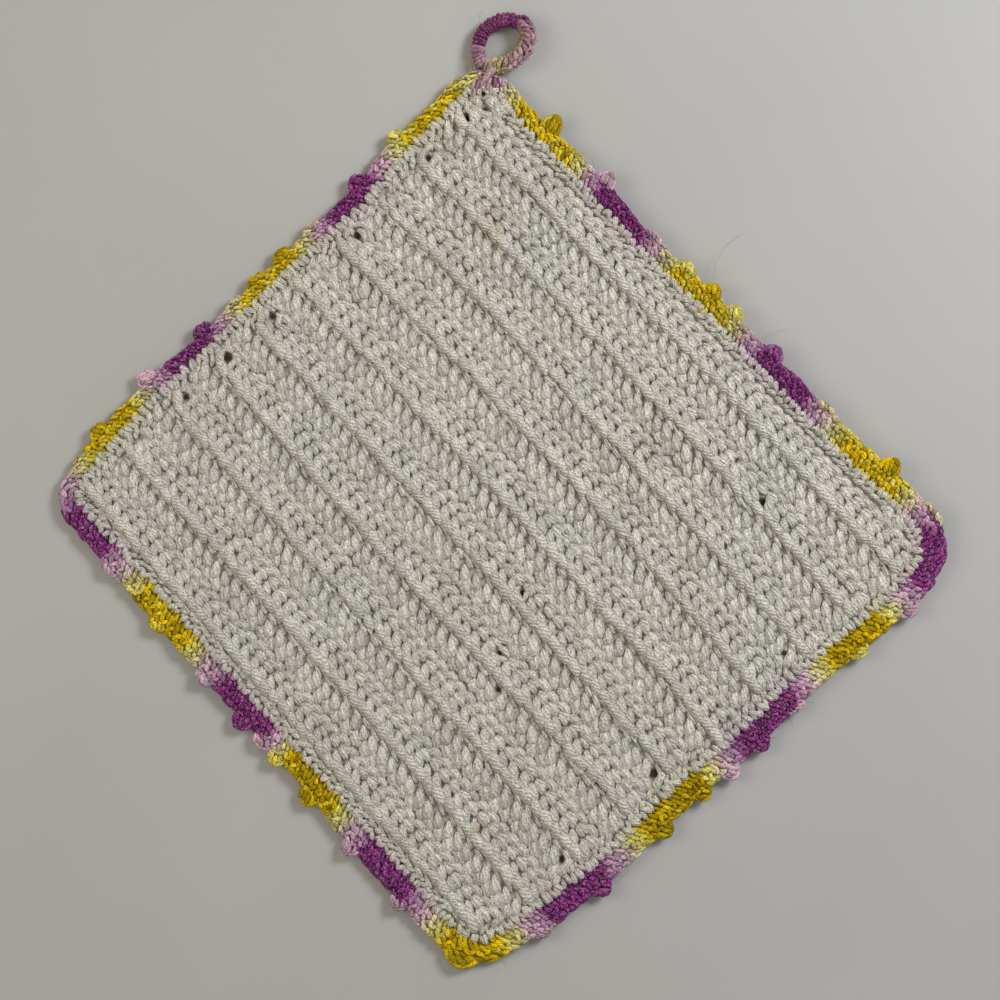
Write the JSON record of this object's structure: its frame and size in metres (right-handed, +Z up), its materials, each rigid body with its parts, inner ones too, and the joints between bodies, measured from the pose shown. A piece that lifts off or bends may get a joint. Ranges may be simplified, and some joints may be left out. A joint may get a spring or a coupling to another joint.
{
  "type": "crocheted pot holder",
  "caption": "Square crocheted pot holder lying flat: white ribbed cotton cloth, a variegated yellow and purple picot edging, and a hanging ring at one corner.",
  "frame": {"origin": "centre of the footprint, on the surface that it lies on", "axes": "+Z up from the surface; +X along the crochet rows, away from the side nearest the ring; +Y across the rows, towards the side with the ring's corner"},
  "size_m": [0.1827, 0.1786, 0.0054],
  "materials": {
    "white_cotton": "crocheted matte cotton, off-white",
    "variegated_thread": "crocheted cotton thread dyed in runs from yellow to purple",
    "ring_thread": "cotton thread wound and crocheted over a core, purple to lilac"
  },
  "bodies": {
    "root": {"panel": "white_cotton", "edging": "variegated_thread", "hanging_loop": "ring_thread"}
  },
  "joints": []
}
